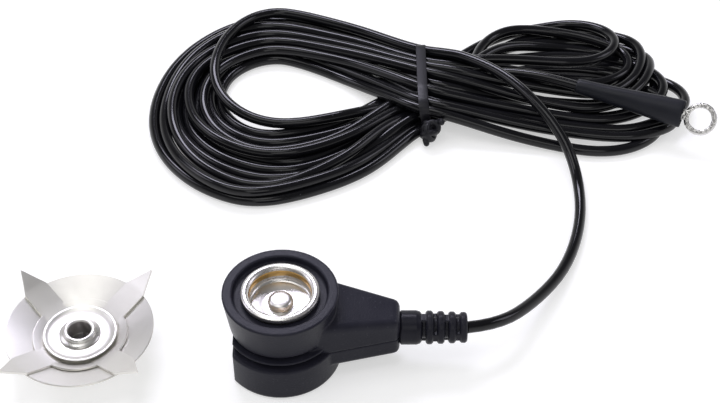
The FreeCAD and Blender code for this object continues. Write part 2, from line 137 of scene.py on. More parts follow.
def turned(name, outline, centre, closed=False, segments=128):
    # A round piece: a ring is drawn out and resized along an outline of (radius, height) pairs.
    deselectAll()
    x, y = centre
    r, z = outline[0]
    bpy.ops.mesh.primitive_circle_add(vertices=segments, radius=r * mm,
                                      location=(x * mm, y * mm, z * mm))
    piece = bpy.context.object
    bpy.ops.object.mode_set(mode="EDIT")
    bpy.ops.mesh.select_mode(type="EDGE")
    bpy.ops.mesh.select_all(action="SELECT")
    path = outline + outline[:1] if closed else outline
    for (r0, z0), (r1, z1) in zip(path, path[1:]):
        bpy.ops.mesh.extrude_region_move(TRANSFORM_OT_translate={"value": (0, 0, (z1 - z0) * mm)})
        bpy.ops.transform.resize(value=(r1 / r0, r1 / r0, 1), center_override=(x * mm, y * mm, z1 * mm))
    if not closed:
        bpy.ops.mesh.edge_face_add()
        bpy.ops.mesh.select_non_manifold()
        bpy.ops.mesh.edge_face_add()
    return settleMesh(piece, name)


def joined(first, *others):
    deselectAll()
    for piece in (first, *others):
        piece.select_set(True)
    bpy.context.view_layer.objects.active = first
    bpy.ops.object.join()
    return first


def boxInEdit(middle, size):
    # A box with its middle in metres and its size in millimetres, left in edit mode.
    deselectAll()
    bpy.ops.mesh.primitive_cube_add(size=1, location=middle)
    piece = bpy.context.object
    bpy.ops.object.mode_set(mode="EDIT")
    bpy.ops.transform.resize(value=tuple(v * mm for v in size), center_override=middle)
    return piece


def bevelAll(offset, segments):
    # Bevel every edge of the piece in edit mode, and leave edit mode.
    bpy.ops.mesh.select_all(action="SELECT")
    bpy.ops.mesh.bevel(offset=offset * mm, segments=segments, affect="EDGES")
    bpy.ops.object.mode_set(mode="OBJECT")


def cutBy(piece, cutter):
    addModifier(piece, "BOOLEAN", operation="DIFFERENCE", object=cutter, solver="EXACT")
    bpy.data.objects.remove(cutter)


# shader groups and materials
def newGroup(name, inputs, outputs):
    group = bpy.data.node_groups.new(name, "ShaderNodeTree")
    for label, kind, value in inputs:
        socket = group.interface.new_socket(label, in_out="INPUT", socket_type=kind)
        if value is not None:
            socket.default_value = value
    for label, kind in outputs:
        group.interface.new_socket(label, in_out="OUTPUT", socket_type=kind)
    return group, group.nodes.new("NodeGroupInput"), group.nodes.new("NodeGroupOutput")


def put(tree, kind, **settings):
    # Add a node; a setting naming a socket sets its value, or links it when given a socket.
    node = tree.nodes.new(kind)
    for key, value in settings.items():
        if hasattr(node, key) and not isinstance(value, bpy.types.NodeSocket):
            setattr(node, key, value)
            continue
        label = key.replace("_", " ")
        spot = node.inputs[int(key[1:])] if key[1:].isdigit() else node.inputs[label]
        if isinstance(value, bpy.types.NodeSocket):
            tree.links.new(value, spot)
        else:
            spot.default_value = value
    return node


def grainGroup():
    # Fine mould grain with a slow drift: a height, and a mask that varies over the surface.
    group, source, sink = newGroup(
        "mouldGrain",
        [("Vector", "NodeSocketVector", None), ("Grain", "NodeSocketFloat", 2500.0),
         ("Drift", "NodeSocketFloat", 120.0)],
        [("Height", "NodeSocketFloat"), ("Drift", "NodeSocketFloat")])
    fine = put(group, "ShaderNodeTexNoise", Vector=source.outputs["Vector"], Scale=source.outputs["Grain"],
               Detail=3.0, Roughness=0.6)
    slow = put(group, "ShaderNodeTexNoise", Vector=source.outputs["Vector"], Scale=source.outputs["Drift"],
               Detail=4.0, Roughness=0.55)
    group.links.new(fine.outputs["Fac"], sink.inputs["Height"])
    group.links.new(slow.outputs["Fac"], sink.inputs["Drift"])
    return group


def speckGroup():
    # Small scattered specks, as dust or pits: 1 on a speck, 0 elsewhere.
    group, source, sink = newGroup(
        "specks",
        [("Vector", "NodeSocketVector", None), ("Density", "NodeSocketFloat", 900.0),
         ("Size", "NodeSocketFloat", 0.12), ("Share", "NodeSocketFloat", 0.5)],
        [("Mask", "NodeSocketFloat")])
    cells = put(group, "ShaderNodeTexVoronoi", Vector=source.outputs["Vector"],
                Scale=source.outputs["Density"])
    near = put(group, "ShaderNodeMath", operation="LESS_THAN", _0=cells.outputs["Distance"],
               _1=source.outputs["Size"])
    picked = put(group, "ShaderNodeSeparateColor", Color=cells.outputs["Color"])
    some = put(group, "ShaderNodeMath", operation="LESS_THAN", _0=picked.outputs["Red"],
               _1=source.outputs["Share"])
    both = put(group, "ShaderNodeMath", operation="MULTIPLY", _0=near.outputs["Value"],
               _1=some.outputs["Value"])
    group.links.new(both.outputs["Value"], sink.inputs["Mask"])
    return group


def wearGroup():
    # Faint hairline scratches that run in two directions: a mask from 0 to 1.
    group, source, sink = newGroup(
        "hairlines",
        [("Vector", "NodeSocketVector", None), ("Scale", "NodeSocketFloat", 300.0)],
        [("Mask", "NodeSocketFloat")])
    masks = []
    for turn in (25, -50):
        turnedVector = put(group, "ShaderNodeMapping", Vector=source.outputs["Vector"],
                           Rotation=rad(0, 0, turn), Scale=(1.0, 14.0, 4.0))
        lines = put(group, "ShaderNodeTexNoise", Vector=turnedVector.outputs["Vector"],
                    Scale=source.outputs["Scale"], Detail=2.0)
        masks.append(put(group, "ShaderNodeMapRange", Value=lines.outputs["Fac"], From_Min=0.62,
                         From_Max=0.74).outputs["Result"])
    most = put(group, "ShaderNodeMath", operation="MAXIMUM", _0=masks[0], _1=masks[1])
    group.links.new(most.outputs["Value"], sink.inputs["Mask"])
    return group


coatRoughness = 0.1
groups = {"grain": grainGroup(), "specks": speckGroup(), "hairlines": wearGroup()}


def useGroup(tree, name, **settings):
    node = tree.nodes.new("ShaderNodeGroup")
    node.node_tree = groups[name]
    for key, value in settings.items():
        if isinstance(value, bpy.types.NodeSocket):
            tree.links.new(value, node.inputs[key])
        else:
            node.inputs[key].default_value = value
    return node


def surface(name, look):
    # A material from one dictionary: two colours that drift into each other, roughness, grain, specks.
    material = bpy.data.materials.new(name)
    material.use_nodes = True
    tree = material.node_tree
    shader = tree.nodes["Principled BSDF"]
    place = tree.nodes.new("ShaderNodeTexCoord").outputs["Object"]
    grain = useGroup(tree, "grain", Vector=place, Grain=look["grain"], Drift=look["drift"])
    colour = put(tree, "ShaderNodeMix", data_type="RGBA")
    drift = put(tree, "ShaderNodeMapRange", Value=grain.outputs["Drift"], From_Min=0.3, From_Max=0.7)
    tree.links.new(drift.outputs["Result"], colour.inputs["Factor"])
    colour.inputs[6].default_value = (*look["colour"], 1)
    colour.inputs[7].default_value = (*look["second"], 1)
    finished = colour.outputs[2]
    rough = put(tree, "ShaderNodeMapRange", Value=grain.outputs["Drift"], From_Min=0.25, From_Max=0.75,
                To_Min=look["rough"][0], To_Max=look["rough"][1]).outputs["Result"]
    height = grain.outputs["Height"]
    if "specks" in look:
        density, size, share, shade = look["specks"]
        specks = useGroup(tree, "specks", Vector=place, Density=density, Size=size, Share=share)
        over = put(tree, "ShaderNodeMix", data_type="RGBA")
        tree.links.new(specks.outputs["Mask"], over.inputs["Factor"])
        tree.links.new(finished, over.inputs[6])
        over.inputs[7].default_value = (*shade, 1)
        finished = over.outputs[2]
        height = put(tree, "ShaderNodeMath", operation="SUBTRACT", _0=height,
                     _1=specks.outputs["Mask"]).outputs["Value"]
    if "hairlines" in look:
        lines = useGroup(tree, "hairlines", Vector=place, Scale=look["hairlines"][0])
        extra = put(tree, "ShaderNodeMath", operation="MULTIPLY_ADD", _0=lines.outputs["Mask"],
                    _1=look["hairlines"][1], _2=rough)
        rough = extra.outputs["Value"]
    strength, depth = look["bump"]
    bump = put(tree, "ShaderNodeBump", Height=height, Strength=strength, Distance=depth * mm)
    tree.links.new(finished, shader.inputs["Base Color"])
    tree.links.new(rough, shader.inputs["Roughness"])
    tree.links.new(bump.outputs["Normal"], shader.inputs["Normal"])
    shader.inputs["Metallic"].default_value = look.get("metal", 0.0)
    shader.inputs["Coat Weight"].default_value = look.get("coat", 0.0)
    shader.inputs["Coat Roughness"].default_value = coatRoughness
    shader.inputs["Specular IOR Level"].default_value = look.get("specular", 0.5)
    return material


looks = {
    "moulding": {"colour": (0.016, 0.016, 0.025), "second": (0.022, 0.022, 0.032), "rough": (0.28, 0.38),
                 "grain": 3400.0, "drift": 160.0, "bump": (0.5, 0.09), "specular": 0.14,
                 "specks": (1500.0, 0.16, 0.4, (0.036, 0.036, 0.05))},
    "relief": {"colour": (0.011, 0.011, 0.017), "second": (0.016, 0.016, 0.023), "rough": (0.28, 0.38),
               "grain": 3800.0, "drift": 220.0, "bump": (0.2, 0.05), "specular": 0.15},
    "cable_jacket": {"colour": (0.0035, 0.0035, 0.0045), "second": (0.0055, 0.0055, 0.0075),
                     "rough": (0.11, 0.16), "grain": 2600.0, "drift": 90.0, "bump": (0.08, 0.03),
                     "specular": 0.34,
                     "specks": (520.0, 0.06, 0.12, (0.05, 0.05, 0.055))},
    "tie": {"colour": (0.009, 0.009, 0.012), "second": (0.014, 0.014, 0.018), "rough": (0.3, 0.4),
            "grain": 3000.0, "drift": 260.0, "bump": (0.3, 0.06), "specular": 0.24},
    "sleeve": {"colour": (0.007, 0.008, 0.012), "second": (0.011, 0.012, 0.018), "rough": (0.34, 0.46),
               "grain": 2400.0, "drift": 180.0, "bump": (0.3, 0.06), "specular": 0.24},
    "nickel": {"colour": (0.76, 0.745, 0.725), "second": (0.68, 0.66, 0.635), "rough": (0.24, 0.34),
               "grain": 1800.0, "drift": 300.0, "bump": (0.08, 0.02), "metal": 0.95,
               "specks": (650.0, 0.08, 0.12, (0.46, 0.44, 0.42)), "hairlines": (260.0, 0.04)},
    "satinNickel": {"colour": (0.78, 0.765, 0.725), "second": (0.73, 0.715, 0.675), "rough": (0.33, 0.41),
                    "grain": 1500.0, "drift": 260.0, "bump": (0.06, 0.02), "metal": 0.95,
                    "hairlines": (240.0, 0.05)},
    "brass": {"colour": (0.74, 0.49, 0.19), "second": (0.60, 0.38, 0.14), "rough": (0.24, 0.36),
              "grain": 1600.0, "drift": 420.0, "bump": (0.1, 0.03), "metal": 1.0, "hairlines": (320.0, 0.1)},
    "tinned": {"colour": (0.74, 0.73, 0.71), "second": (0.58, 0.57, 0.56), "rough": (0.2, 0.36),
               "grain": 900.0, "drift": 700.0, "bump": (0.5, 0.1), "metal": 1.0,
               "specks": (1100.0, 0.2, 0.4, (0.40, 0.39, 0.38))},
    "copper": {"colour": (0.72, 0.36, 0.21), "second": (0.60, 0.29, 0.17), "rough": (0.28, 0.4),
               "grain": 1500.0, "drift": 500.0, "bump": (0.3, 0.05), "metal": 1.0},
    "resistor": {"colour": (0.26, 0.44, 0.56), "second": (0.30, 0.48, 0.60), "rough": (0.35, 0.45),
                 "grain": 1500.0, "drift": 300.0, "bump": (0.15, 0.04), "coat": 0.3},
}
materials = {name: surface(name, look) for name, look in looks.items()}
slotOf = {part["node"]: part["material_slot"] for part in frame["record"]["subparts"]}
for name, node in nodes.items():
    node.data.materials.clear()
    node.data.materials.append(materials[slotOf[name]])
print("materials ready:", len(materials))


def dress(piece, slotName, body, *replaced, look=None):
    # Give a piece its look, body and slot, and hide the nodes it stands for.
    piece.data.materials.clear()
    piece.data.materials.append(materials[look or slotName])
    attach(piece, body)
    if replaced:
        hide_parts(*replaced)
    return piece


# camera
view = {
    "place": (0.0209, -0.1667, 0.197),
    "tilt": 46,            # degrees up from straight down
    "lens": 75,
    "sensor": 36,
    "clipStart": 0.01,
}
bpy.ops.object.camera_add(location=view["place"], rotation=rad(view["tilt"], 0, 0))
camera = bpy.context.object
camera.data.lens = view["lens"]
camera.data.sensor_width = view["sensor"]
camera.data.clip_start = view["clipStart"]
bpy.context.scene.camera = camera
bpy.context.scene.view_settings.view_transform = "Standard"

# the cord
leadRoute = [
    (38.875, 0, 6.6), (44.4, 1.2, 6.0), (51.4, 8.9, 3.2), (58.0, 18.8, 1.3), (61.9, 30.4, 1.15),
    (62.6, 41.6, 1.4), (60.5, 49.4, 4.8), (55.3, 57.8, 7.5), (49.2, 66.0, 8.0), (42.0, 72.2, 7.2),
]
mouth = np.array(sleeve["mouth"])
sleeveDir = np.array([math.cos(sleeve["heading"]), math.sin(sleeve["heading"]), 0])
tailRoute = [(40.0, 69.2, 5.6), (48.0, 69.4, 5.5), tuple(mouth - sleeveDir * cable["tailLead"]),
             tuple(mouth)]

# Left loops, in winding order: upper leg (y, height), top, leftmost, lowest (x, y, height) and
# the lower leg's y
leftLoops = [
    ((86.6, 5.4), (4.5, 91.0, 5.4), (-8.8, 71.5, 5.2), (7.0, 55.8, 3.6), 62.0),
    ((86.0, 4.0), (1.0, 90.6, 3.2), (-19.8, 62.8, 1.6), (2.6, 36.9, 1.1), 56.5),
    ((82.2, 5.0), (3.5, 87.9, 3.3), (-17.7, 60.6, 2.6), (1.2, 36.9, 2.6), 57.5),
    ((79.4, 5.0), (4.0, 85.0, 3.3), (-16.4, 63.4, 2.6), (4.2, 40.3, 2.0), 59.0),
    ((76.5, 5.0), (4.5, 82.3, 3.3), (-13.9, 66.2, 2.0), (6.0, 47.2, 2.2), 60.5),
    ((82.6, 2.6), (4.0, 89.0, 1.2), (-15.6, 62.4, 1.2), (4.8, 43.4, 1.1), 58.4),
    ((77.6, 1.4), (4.0, 84.4, 1.1), (-13.2, 63.6, 1.2), (7.0, 44.6, 1.1), 59.6),
    ((75.0, 4.0), (4.5, 79.7, 3.3), (-11.0, 64.8, 2.2), (4.4, 49.8, 1.1), 61.5),
    ((78.0, 2.4), (4.0, 86.4, 1.1), (-11.7, 61.4, 1.1), (9.5, 46.0, 1.1), 60.0),
    ((74.2, 2.8), (4.0, 82.8, 1.1), (-9.8, 66.5, 1.2), (4.9, 52.1, 1.1), 62.5),
    ((73.2, 1.6), (4.5, 79.6, 1.1), (-8.6, 67.8, 1.2), (3.8, 54.3, 1.1), 64.0),
]
# Right loops, in winding order: y right of the tie, top, rightmost, lowest (x, y, height) and
# y of the return over the tie
rightLoops = [
    (74.5, (63.5, 88.6, 3.2), (74.2, 80.4, 5.0), (63.5, 72.4, 6.2), 75.0),
    (65.0, (53.0, 86.2, 3.4), (77.4, 74.8, 3.0), (66.0, 67.2, 4.2), 73.0),
    (66.5, (64.5, 87.2, 2.2), (79.4, 78.0, 4.0), (68.0, 64.4, 4.6), 71.0),
    (68.0, (63.0, 84.2, 2.2), (80.0, 75.4, 3.4), (66.0, 60.6, 3.6), 69.0),
    (67.5, (61.0, 81.8, 1.2), (81.0, 68.6, 1.2), (67.0, 64.4, 1.2), 67.0),
    (69.0, (60.0, 76.6, 1.2), (79.6, 66.4, 1.2), (65.0, 60.2, 1.2), 65.2),
    (69.5, (62.0, 79.6, 2.0), (82.0, 67.8, 3.0), (68.0, 57.8, 3.0), 63.4),
    (70.5, (64.0, 77.6, 1.4), (86.4, 64.4, 2.8), (73.0, 55.4, 2.2), 61.8),
    (71.0, (60.0, 73.2, 1.2), (83.4, 62.0, 1.6), (72.0, 53.2, 1.6), 60.2),
    (69.5, (58.0, 69.4, 1.2), (81.4, 60.4, 1.2), (67.0, 51.0, 1.1), 58.8),
]


def quarter(start, end, count, fromSide):
    # Points inside a quarter ellipse between two extreme points, with their heights.
    points = []
    for i in range(1, count + 1):
        share = i / (count + 1)
        s, c = math.sin(math.pi / 2 * share), math.cos(math.pi / 2 * share)
        across, along = (1 - c, s) if fromSide else (s, 1 - c)
        points.append((start[0] + (end[0] - start[0]) * across, start[1] + (end[1] - start[1]) * along,
                       start[2] + (end[2] - start[2]) * share))
    return points


def mixed(a, b, share):
    return a * (1 - share) + b * share


def woundTurns():
    # Figure-of-eight turns: over the tie's place, round a left loop, under it and round a right loop.
    points = []
    overY, overZ, underZ = 77.2, 6.0, 1.9
    upperX, lowerX, tieX = cable["upperLegX"], cable["lowerLegX"], cable["tieX"]
    for i, (leg, top, left, low, lowLegY) in enumerate(leftLoops):
        points += [(33.9, overY, overZ),
                   (27.0, mixed(overY, leg[0], 0.42) + 0.4, mixed(overZ, leg[1], 0.5)), (upperX, *leg)]
        points += [top] + quarter(top, left, 2, False) + [left] + quarter(left, low, 2, True) + [low]
        points += [(upperX, mixed(low[1], lowLegY, 0.44) - 1.2, low[2]), (lowerX, lowLegY, 1.6)]
        if i == len(leftLoops) - 1:
            return points + [(tieX, 67.0, 3.4)]
        underY, rTop, right, rLow, overY = rightLoops[i]
        points += [(tieX, mixed(lowLegY, underY, 0.5), underZ), (39.5, underY + 1.0, 2.2),
                   (mixed(40.0, rTop[0], 0.45), mixed(underY, rTop[1], 0.72) + 0.8, 2.6)]
        points += [rTop] + quarter(rTop, right, 2, False) + [right] + quarter(right, rLow, 2, True) + [rLow]
        points += [(mixed(rLow[0], 40.0, 0.5), mixed(rLow[1], overY, 0.36), mixed(rLow[2], 5.8, 0.4)),
                   (40.5, overY - 1.8, 5.8)]


def dense(control, step):
    # Evenly spaced points on a smooth curve through the control points.
    c = np.array(control, float)
    c = np.vstack([2 * c[0] - c[1], c, 2 * c[-1] - c[-2]])
    t = (np.arange(16) / 16)[:, None]
    out = []
    for a, b, d, e in zip(c, c[1:], c[2:], c[3:]):
        bend, twist = 2 * a - 5 * b + 4 * d - e, 3 * b - a - 3 * d + e
        out.append(0.5 * (2 * b + (d - a) * t + bend * t * t + twist * t ** 3))
    out = np.vstack(out + [c[-2:-1]])
    s = np.r_[0, np.cumsum(np.linalg.norm(np.diff(out, axis=0), axis=1))]
    u = np.linspace(0, s[-1], int(s[-1] / step) + 1)
    return np.stack([np.interp(u, s, out[:, i]) for i in range(3)], 1)


def settle(start, fixed, fixedR, steps):
    # Let the turns sink, push each other apart and stay one diameter from everything.
    d = cable["diameter"]
    r = d / 2
    x = start.copy()
    n = len(x)
    order = np.arange(n)
    near = np.abs(order[:, None] - order[None, :]) <= cable["neighbours"]
    underTie = np.abs(start[:, 0] - cable["tieX"]) < cable["tieHalf"]
    sideLow, sideHigh = cable["tieY"]
    for _ in range(steps):
        x[:, 2] -= cable["sinkStep"]
        sq = (x * x).sum(1)
        gap2 = sq[:, None] + sq[None, :] - 2 * x @ x.T
        i, j = np.nonzero((gap2 < d * d) & ~near)
        keep = i < j
        i, j = i[keep], j[keep]
        v = x[i] - x[j]
        dist = np.sqrt((v * v).sum(1)) + 1e-6
        push = (d - dist)[:, None] * v / dist[:, None] / 2
        total = np.zeros_like(x)
        count = np.zeros(n)
        np.add.at(total, i, push)
        np.add.at(total, j, -push)
        np.add.at(count, i, 1)
        np.add.at(count, j, 1)
        v = x[:, None, :] - fixed[None, :, :]
        dist = np.sqrt((v * v).sum(2)) + 1e-6
        reach = (r + fixedR)[None, :] - dist
        i, j = np.nonzero(reach > 0)
        np.add.at(total, i, reach[i, j][:, None] * v[i, j] / dist[i, j][:, None])
        np.add.at(count, i, 1)
        x += total / np.maximum(count, 1)[:, None]
        moved = x - start
        for _ in range(cable["easing"]):
            moved[1:-1] += 0.5 * (0.5 * (moved[:-2] + moved[2:]) - moved[1:-1])
        x = start + moved
        x[:, 2] = np.maximum(x[:, 2], r)
        x[underTie, 1] = np.clip(x[underTie, 1], sideLow + r, sideHigh - r)
        x[underTie, 2] = np.minimum(x[underTie, 2], cable["tieTop"] - r)
        x[:2] = start[:2]
        x[-2:] = start[-2:]
    return x


def cableCurve():
    # The whole cord as one smooth spline: the lead, the settled turns and the tail.
    lead = dense(leadRoute, cable["step"])
    tail = dense(tailRoute, cable["step"])
    along = np.arange(0, sleeve["length"] + 3, cable["step"])
    tube = np.array([mouth + sleeveDir * t for t in along])
    fixed = np.vstack([lead[:-2], tail[2:], tube])
    fixedR = np.r_[np.full(len(fixed) - len(tube), cable["diameter"] / 2),
                   np.linspace(*sleeve["clearR"], len(tube))]
    start = dense([leadRoute[-1]] + woundTurns() + [tailRoute[0]], cable["step"])
    steps = cable["settleSteps"]
    turns = settle(start, fixed, fixedR, steps)
    within = [tuple(mouth + sleeveDir * t) for t in cable["within"]]
    settled = [tuple(p) for p in turns[::cable["keepEvery"]]]
    points = leadRoute[:-1] + settled + tailRoute[1:] + within
    curve = bpy.data.curves.new("cable", "CURVE")
    curve.dimensions = "3D"
    spline = curve.splines.new("NURBS")
    spline.points.add(len(points) - 1)
    for point, place in zip(spline.points, points):
        point.co = (*(c * mm for c in place), 1)
    spline.order_u = 3
    spline.use_endpoint_u = True
    spline.resolution_u = cable["rings"]
    curve.bevel_depth = cable["diameter"] / 2 * mm
    curve.bevel_resolution = cable["roundness"]
    curve.use_fill_caps = True
    piece = bpy.data.objects.new("cable", curve)
    bpy.context.scene.collection.objects.link(piece)
    return piece, points


cord, cordPoints = cableCurve()
dress(cord, "cable_jacket", "cord_set", "cable_hank", "cable_lead", "cable_tail", "sleeved_cable")


def measured(piece):
    # Length of a curve's own line, in metres.
    plain = piece.data.copy()
    plain.bevel_depth = 0
    holder = bpy.data.objects.new("measure", plain)
    bpy.context.scene.collection.objects.link(holder)
    bpy.context.view_layer.update()
    depsgraph = bpy.context.evaluated_depsgraph_get()
    mesh = bpy.data.meshes.new_from_object(holder.evaluated_get(depsgraph))
    co = np.array([v.co for v in mesh.vertices])
    length = float(np.linalg.norm(np.diff(co, axis=0), axis=1).sum())
    bpy.data.objects.remove(holder)
    bpy.data.curves.remove(plain)
    bpy.data.meshes.remove(mesh)
    return length


print("cord wound:", len(cordPoints), "points,", round(measured(cord), 3), "m")

# connector housing
connector = {
    "drumX": 7.775,
    "baseX": 7.675,
    "baseR": 10.1,
    "flatX": -0.225,
    "seam": 6.6,
    "foot": 0.6,
    "coreR": 7.2,
    "slotTop": 8.85,
    "flangeR": 9.35,
    "flangeLow": 7.6,
    "flangeThick": 0.4,
    "lowR": 8.7,
    "topR": 9.65,
    "top": 15.6,
    "recessR": 7.95,
    "recessFloor": 14.4,
    "cupHoleR": 6.15,
    "cupHoleFloor": 11.65,
    "armRoot": 4.0,
    "armEnd": 19.8,
    "armRootWidth": 13.4,
    "armEndWidth": 5.6,
    "armLow": 2.9,
    "armRootTop": 13.26,
    "armEndTop": 10.8,
    "armRound": 1.0,
    "voxel": 0.17,
}
# spaces for the pieces inside: radius, length, start (x from the drum's axis, z), along x or up
pockets = [
    (1.05, 8.1, (0, 3.3), "up"),            # post
    (1.65, 0.5, (0, 11.2), "up"),           # rivet's tail
    (2.65, 14.5, (-9.5, 3.3), "along"),     # plug jack
    (1.35, 8.0, (6.6, 6.6), "along"),       # resistor and its front lead
    (1.15, 5.6, (13.6, 6.6), "along"),      # leads and ferrule
    (2.25, 2.2, (18.1, 6.6), "along"),      # strain relief's anchor
    (0.6, 5.4, (6.9, 6.6), "up"),           # front lead's riser
]


def cutterRod(radius, length, start, way, segments=48):
    # A cylinder used as a cutter, from its start point.
    deselectAll()
    x, z = start[0] + connector["drumX"], start[1]
    if way == "along":
        place, turn = ((x + length / 2) * mm, 0, z * mm), rad(0, 90, 0)
    else:
        place, turn = (x * mm, 0, (z + length / 2) * mm), (0, 0, 0)
    bpy.ops.mesh.primitive_cylinder_add(vertices=segments, radius=radius * mm, depth=length * mm,
                                        location=place, rotation=turn)
    return bpy.context.object


def cutPockets(piece):
    for pocket in pockets:
        cutBy(piece, cutterRod(*pocket))


def armBlock():
    # The tapered arm at its full height, with rounded edges.
    c = connector
    length = c["armEnd"] - c["armRoot"]
    middle = ((c["drumX"] + c["armRoot"] + length / 2) * mm, 0, (c["armLow"] + c["armRootTop"]) / 2 * mm)
    piece = boxInEdit(middle, (length, c["armRootWidth"], c["armRootTop"] - c["armLow"]))
    midX, midZ = middle[0] / mm, middle[2] / mm
    selectWhere(piece, lambda p: p.x > midX)
    bpy.ops.transform.resize(value=(1, c["armEndWidth"] / c["armRootWidth"], 1), center_override=middle)
    selectWhere(piece, lambda p: p.x > midX and p.z > midZ)
    bpy.ops.transform.translate(value=(0, 0, (c["armEndTop"] - c["armRootTop"]) * mm))
    bevelAll(c["armRound"], 4)
    return piece


def keepSide(piece, above):
    # Cut a piece at the seam and keep what is above or below it.
    editMode(piece)
    bpy.ops.mesh.select_all(action="SELECT")
    bpy.ops.mesh.bisect(plane_co=(0, 0, connector["seam"] * mm), plane_no=(0, 0, 1),
                        use_fill=True, clear_inner=above, clear_outer=not above)
    bpy.ops.object.mode_set(mode="OBJECT")


def softened(piece, name, voxel, passes):
    # Weld overlapping shapes into one skin and soften its edges, as a moulding's are.
    addModifier(piece, "REMESH", mode="VOXEL", voxel_size=voxel * mm, use_smooth_shade=True)
    addModifier(piece, "SMOOTH", factor=0.5, iterations=passes)
    return settleMesh(piece, name, angle=60, doubles=0.0005)


def cutFlat(piece):
    # Cut the flat end that the base and the flange share.
    editMode(piece)
    bpy.ops.mesh.select_all(action="SELECT")
    bpy.ops.mesh.bisect(plane_co=(connector["flatX"] * mm, 0, 0), plane_no=(1, 0, 0), use_fill=True,
                        clear_inner=True)
    bpy.ops.object.mode_set(mode="OBJECT")


def housingCap():
    c = connector
    drum = turned("drum", [
        (0.05, c["seam"]), (c["coreR"], c["seam"]), (c["coreR"], c["slotTop"]), (c["lowR"], c["slotTop"]),
        (c["topR"], c["top"]), (c["recessR"], c["top"]), (c["recessR"] - 0.1, c["recessFloor"]),
        (c["cupHoleR"], c["recessFloor"]), (c["cupHoleR"], c["cupHoleFloor"]), (0.05, c["cupHoleFloor"]),
    ], (c["drumX"], 0))
    edge, thick = c["flangeR"], c["flangeThick"]
    flange = turned("flange", [
        (c["coreR"] - 1, c["flangeLow"]), (edge - 0.1, c["flangeLow"]), (edge, c["flangeLow"] + 0.1),
        (edge, c["flangeLow"] + thick - 0.1), (edge - 0.1, c["flangeLow"] + thick),
        (c["coreR"] - 1, c["flangeLow"] + thick),
    ], (c["drumX"], 0))
    cutFlat(flange)
    arm = armBlock()
    keepSide(arm, True)
    cutBy(arm, cutterRod(c["recessR"], 12, (0, 5), "up", 96))
    cutPockets(drum)
    cutPockets(arm)
    return softened(joined(drum, flange, arm), "housing_cap_skin", c["voxel"], 2)


def housingBase():
    c = connector
    disc = turned("disc", [
        (0.05, 0), (c["baseR"] - c["foot"], 0), (c["baseR"] - c["foot"] * 0.3, c["foot"] * 0.3),
        (c["baseR"], c["foot"]), (c["baseR"], c["seam"]), (0.05, c["seam"]),
    ], (c["baseX"], 0))
    cutFlat(disc)
    arm = armBlock()
    keepSide(arm, False)
    cutPockets(disc)
    cutPockets(arm)
    return softened(joined(disc, arm), "housing_base_skin", c["voxel"], 2)


dress(housingCap(), "moulding", "cord_set", "housing_cap")
dress(housingBase(), "moulding", "cord_set", "housing_base")
print("housing modelled")

# strain relief
relief = {
    "start": 27.575,
    "anchorR": 2.2,
    "anchorLength": 1.7,
    "neckR": 2.9,
    "neckLength": 3.7,
    "coreR": 1.75,
    "boreR": 1.06,
    "ribs": 4,
    "ribWidth": 1.25,
    "pitch": 1.9,
    "ribR": (2.85, 2.6),
    "bridge": 1.6,
    "bridgeRound": 0.12,
    "axisZ": 6.6,
    "voxel": 0.085,
}


def alongX(piece, x):
    # Lay a piece that was turned about the upright axis along the cord, its foot at x.
    piece.rotation_euler = rad(0, 90, 0)
    piece.location = (x * mm, 0, relief["axisZ"] * mm)
    applyPlace(piece)


def strainRelief():
    c = relief
    neckEnd = c["neckLength"]
    tube = [(c["boreR"], -c["anchorLength"]), (c["anchorR"], -c["anchorLength"]), (c["anchorR"], 0),
            (c["neckR"] - 0.25, 0), (c["neckR"], 0.25), (c["neckR"], neckEnd - 0.9),
            (c["neckR"] - 0.2, neckEnd - 0.3), (c["neckR"] - 0.6, neckEnd), (c["coreR"], neckEnd)]
    gap = c["pitch"] - c["ribWidth"]
    bridges = []
    for i in range(c["ribs"]):
        outer = c["ribR"][0] + (c["ribR"][1] - c["ribR"][0]) * i / (c["ribs"] - 1)
        low = neckEnd + gap + i * c["pitch"]
        high = low + c["ribWidth"]
        tube += [(c["coreR"], low), (outer - 0.3, low), (outer, low + 0.3), (outer, high - 0.3),
                 (outer - 0.3, high), (c["coreR"], high)]
        bridges.append((i, low - gap, low, outer - 0.25))
    tube += [(c["boreR"], tube[-1][1])]
    piece = turned("relief", tube, (0, 0), closed=True, segments=96)
    alongX(piece, c["start"])
    for i, low, high, reach in bridges:
        # a bridge between two ribs, crosswise or upright by turns
        middle = ((c["start"] + (low + high) / 2) * mm, 0, c["axisZ"] * mm)
        across = (2 * reach, c["bridge"]) if i % 2 else (c["bridge"], 2 * reach)
        block = boxInEdit(middle, (high - low + 0.4, *across))
        bevelAll(c["bridgeRound"], 2)
        bore = cutterRod(c["boreR"], 20, (c["start"] - 5 - connector["drumX"], c["axisZ"]), "along", 32)
        cutBy(block, bore)
        piece = joined(piece, block)
    return softened(piece, "strain_relief_skin", c["voxel"], 2)


dress(strainRelief(), "relief", "cord_set", "strain_relief")
print("strain relief modelled")

# snap socket
socket = {
    "boreR": 5.2,
    "ringZ": 14.5,         # middle of the spring ring
    "split": 1.2,
}


